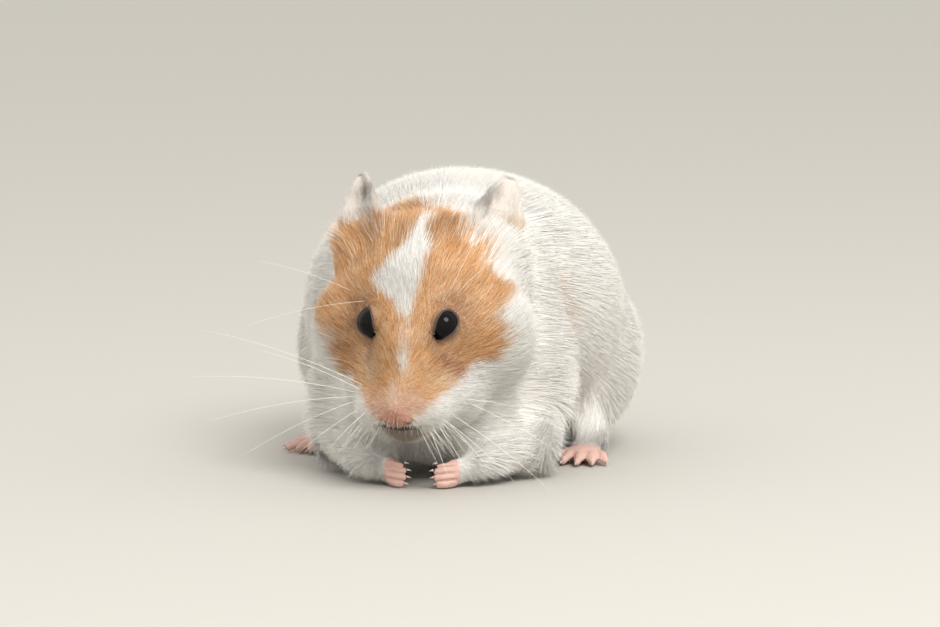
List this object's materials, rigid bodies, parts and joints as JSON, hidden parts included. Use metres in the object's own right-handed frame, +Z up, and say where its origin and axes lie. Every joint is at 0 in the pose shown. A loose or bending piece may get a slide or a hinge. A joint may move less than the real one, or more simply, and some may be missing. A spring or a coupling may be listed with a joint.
{
  "type": "syrian hamster",
  "caption": "Life-size still model of a crouching Syrian hamster, head low and forepaws together, with an orange and white face and a long white coat.",
  "frame": {"origin": "middle of the box's base, on the plane that the feet stand on", "axes": "+Z up, nose towards -Y, tail towards +Y, the animal's left side towards +X"},
  "size_m": [0.0798, 0.118, 0.0647],
  "materials": {
    "white_coat": "soft white fur",
    "orange_coat": "soft orange and white fur",
    "skin": "bare pink skin",
    "nose_skin": "moist pink skin",
    "eye": "wet black eye"
  },
  "bodies": {
    "root": {"trunk": "white_coat", "neck": "white_coat", "fore_leg_left": "white_coat", "fore_leg_right": "white_coat", "hind_leg_left": "white_coat", "hind_leg_right": "white_coat", "head": "orange_coat", "muzzle": "orange_coat", "lower_jaw": "orange_coat", "ear_left": "skin", "ear_right": "skin", "fore_paw_left": "skin", "fore_paw_right": "skin", "hind_foot_left": "skin", "hind_foot_right": "skin", "tail": "skin", "nose": "nose_skin", "eye_left": "eye", "eye_right": "eye"}
  },
  "joints": []
}
